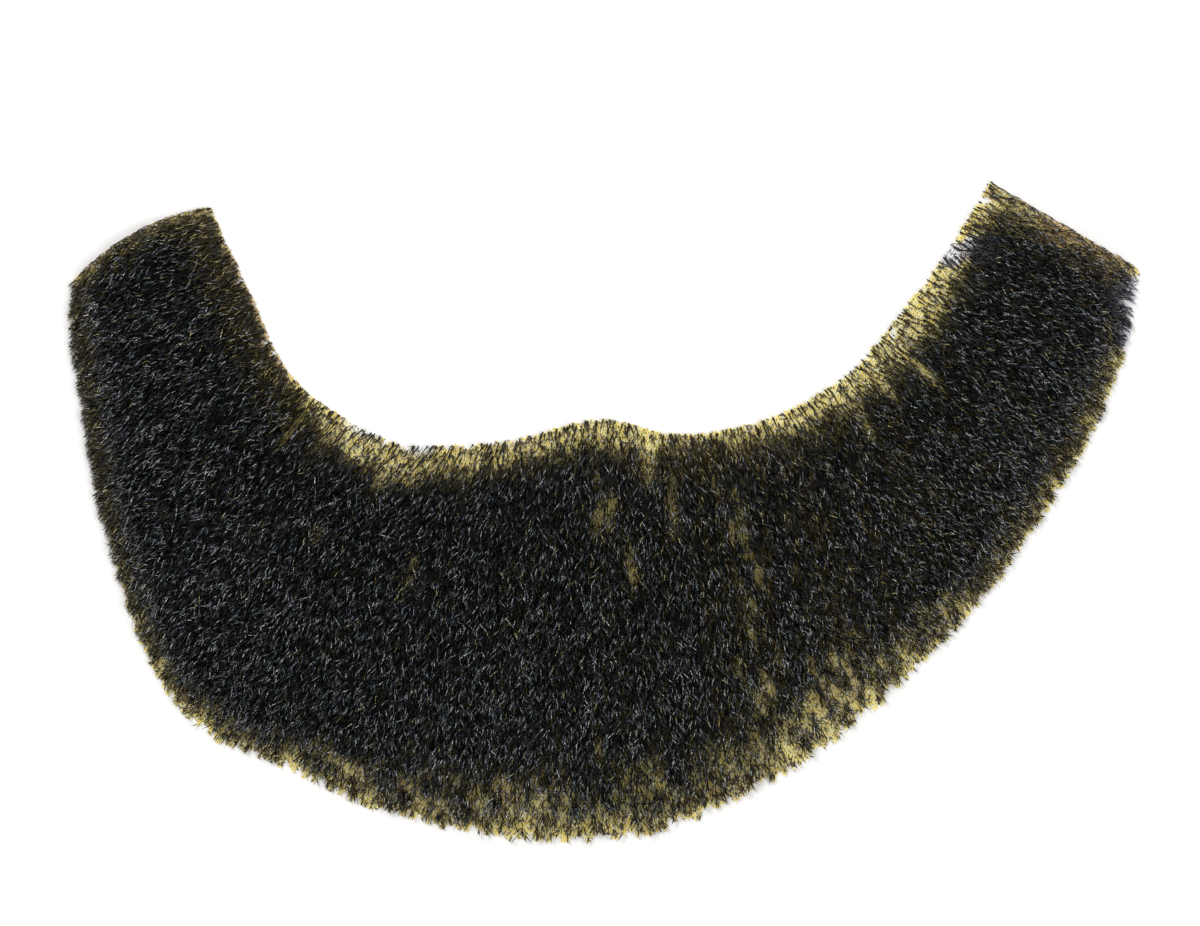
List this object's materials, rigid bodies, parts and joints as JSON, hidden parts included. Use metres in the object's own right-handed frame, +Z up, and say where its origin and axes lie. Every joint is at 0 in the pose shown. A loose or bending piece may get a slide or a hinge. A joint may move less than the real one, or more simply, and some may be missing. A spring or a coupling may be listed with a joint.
{
  "type": "fake beard",
  "caption": "Full-face false beard of short dark hair knotted on gold lace, a crescent with sideburn tabs that fits round the mouth.",
  "frame": {"origin": "middle of the beard's own box, on the surface that the lace lies on", "axes": "+X across from the left sideburn to the right one as seen from above, +Y from the chin towards the open notch, +Z up out of the hair"},
  "size_m": [0.2802, 0.1731, 0.0095],
  "materials": {
    "lace": "open gold net, matt",
    "hair": "near-black hair, satin"
  },
  "bodies": {
    "root": {"lace_foundation": "lace", "left_sideburn_hair": "hair", "left_cheek_hair": "hair", "left_jaw_hair": "hair", "chin_hair": "hair", "right_jaw_hair": "hair", "right_cheek_hair": "hair", "right_sideburn_hair": "hair"}
  },
  "joints": []
}
